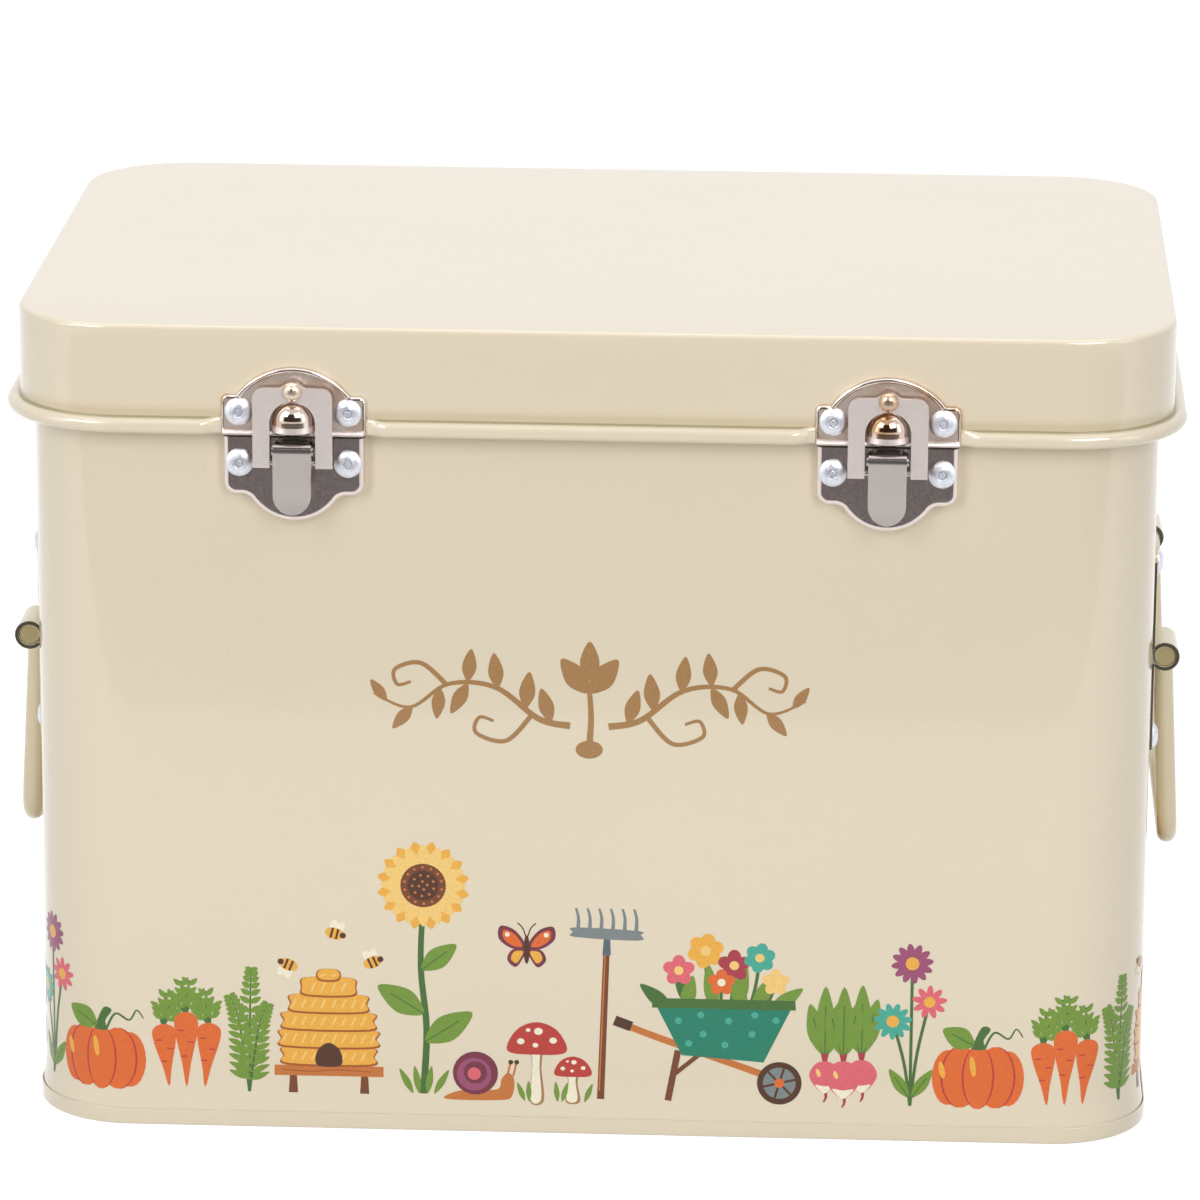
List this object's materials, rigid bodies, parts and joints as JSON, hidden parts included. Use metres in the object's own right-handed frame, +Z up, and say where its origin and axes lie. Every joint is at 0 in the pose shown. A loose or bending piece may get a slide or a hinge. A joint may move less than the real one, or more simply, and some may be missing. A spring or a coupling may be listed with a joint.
{
  "type": "seed packet storage tin",
  "caption": "Rectangular tin box with an overlapping hinged lid, toggle latches in front, a drop handle on each end, and a partition with divider cards for seed packets.",
  "frame": {"origin": "centre of the object's bounding box on the floor", "axes": "+X along the width to the right as seen from the front, -Y out of the front with the latches, +Z up"},
  "size_m": [0.2798, 0.1918, 0.1966],
  "materials": {
    "tub_enamel": "glossy powder-coated tinplate, cream",
    "lid_enamel": "glossy powder-coated tinplate, cream",
    "partition_enamel": "satin powder-coated tinplate, cream",
    "base_steel": "polished nickel-plated pressed steel",
    "catch_nickel": "polished nickel-plated pressed steel",
    "lever_steel": "satin nickel-plated pressed steel",
    "loop_nickel": "satin nickel-plated pressed steel",
    "pin_steel": "plain bright steel wire",
    "rivet_aluminium": "bright upset aluminium",
    "handle_enamel": "glossy powder-coated steel, cream",
    "hinge_nickel": "polished nickel-plated pressed steel",
    "card_plastic": "matt coloured card stock"
  },
  "bodies": {
    "root": {"tub_wall": "tub_enamel", "base_pan": "tub_enamel", "partition": "partition_enamel", "latch_base_left": "base_steel", "latch_base_right": "base_steel", "latch_base_rivets": "rivet_aluminium", "strap_left_front": "handle_enamel", "strap_left_rear": "handle_enamel", "strap_right_front": "handle_enamel", "strap_right_rear": "handle_enamel", "strap_rivets": "rivet_aluminium", "hinge_tub_leaf_left": "hinge_nickel", "hinge_tub_leaf_right": "hinge_nickel", "hinge_tub_rivets": "rivet_aluminium", "hinge_pin_left": "pin_steel", "hinge_pin_right": "pin_steel", "card_front_1": "card_plastic", "card_front_2": "card_plastic", "card_front_3": "card_plastic", "card_rear_1": "card_plastic", "card_rear_2": "card_plastic", "card_rear_3": "card_plastic"},
    "lid": {"lid_shell": "lid_enamel", "latch_catch_left": "catch_nickel", "latch_catch_right": "catch_nickel", "latch_catch_rivets": "rivet_aluminium", "hinge_lid_leaf_left": "hinge_nickel", "hinge_lid_leaf_right": "hinge_nickel", "hinge_lid_rivets": "rivet_aluminium"},
    "lever_left": {"lever_left": "lever_steel", "lever_pin_left": "pin_steel"},
    "loop_left": {"loop_left": "loop_nickel", "loop_pin_left": "pin_steel"},
    "handle_left": {"handle_left": "handle_enamel"},
    "lever_right": {"lever_right": "lever_steel", "lever_pin_right": "pin_steel"},
    "loop_right": {"loop_right": "loop_nickel", "loop_pin_right": "pin_steel"},
    "handle_right": {"handle_right": "handle_enamel"}
  },
  "joints": [
    {"name": "lid_hinge", "type": "hinge", "parent": "root", "child": "lid", "pos_m": [0, 0.0937, 0.1686], "axis": [-1, 0, 0], "range_deg": [0, 110]},
    {"name": "lever_left_turn", "type": "hinge", "parent": "root", "child": "lever_left", "pos_m": [-0.0685, -0.0925, 0.16798], "axis": [-1, 0, 0], "range_deg": [0, 100]},
    {"name": "loop_left_turn", "type": "hinge", "parent": "lever_left", "child": "loop_left", "pos_m": [-0.0685, -0.0919, 0.16504], "axis": [1, 0, 0], "range_deg": [0, 150]},
    {"name": "lever_right_turn", "type": "hinge", "parent": "root", "child": "lever_right", "pos_m": [0.0685, -0.0925, 0.16798], "axis": [-1, 0, 0], "range_deg": [0, 100]},
    {"name": "loop_right_turn", "type": "hinge", "parent": "lever_right", "child": "loop_right", "pos_m": [0.0685, -0.0919, 0.16504], "axis": [1, 0, 0], "range_deg": [0, 150]},
    {"name": "handle_left_swing", "type": "hinge", "parent": "root", "child": "handle_left", "pos_m": [-0.1348, 0.0011, 0.113], "axis": [0, 1, 0], "range_deg": [-3, 172]},
    {"name": "handle_right_swing", "type": "hinge", "parent": "root", "child": "handle_right", "pos_m": [0.1348, 0.0011, 0.113], "axis": [0, -1, 0], "range_deg": [-3, 172]}
  ],
  "couplings": [
    {"joint": "loop_left_turn", "follows": "lever_left_turn", "ratio": 1.5},
    {"joint": "loop_right_turn", "follows": "lever_right_turn", "ratio": 1.5}
  ]
}
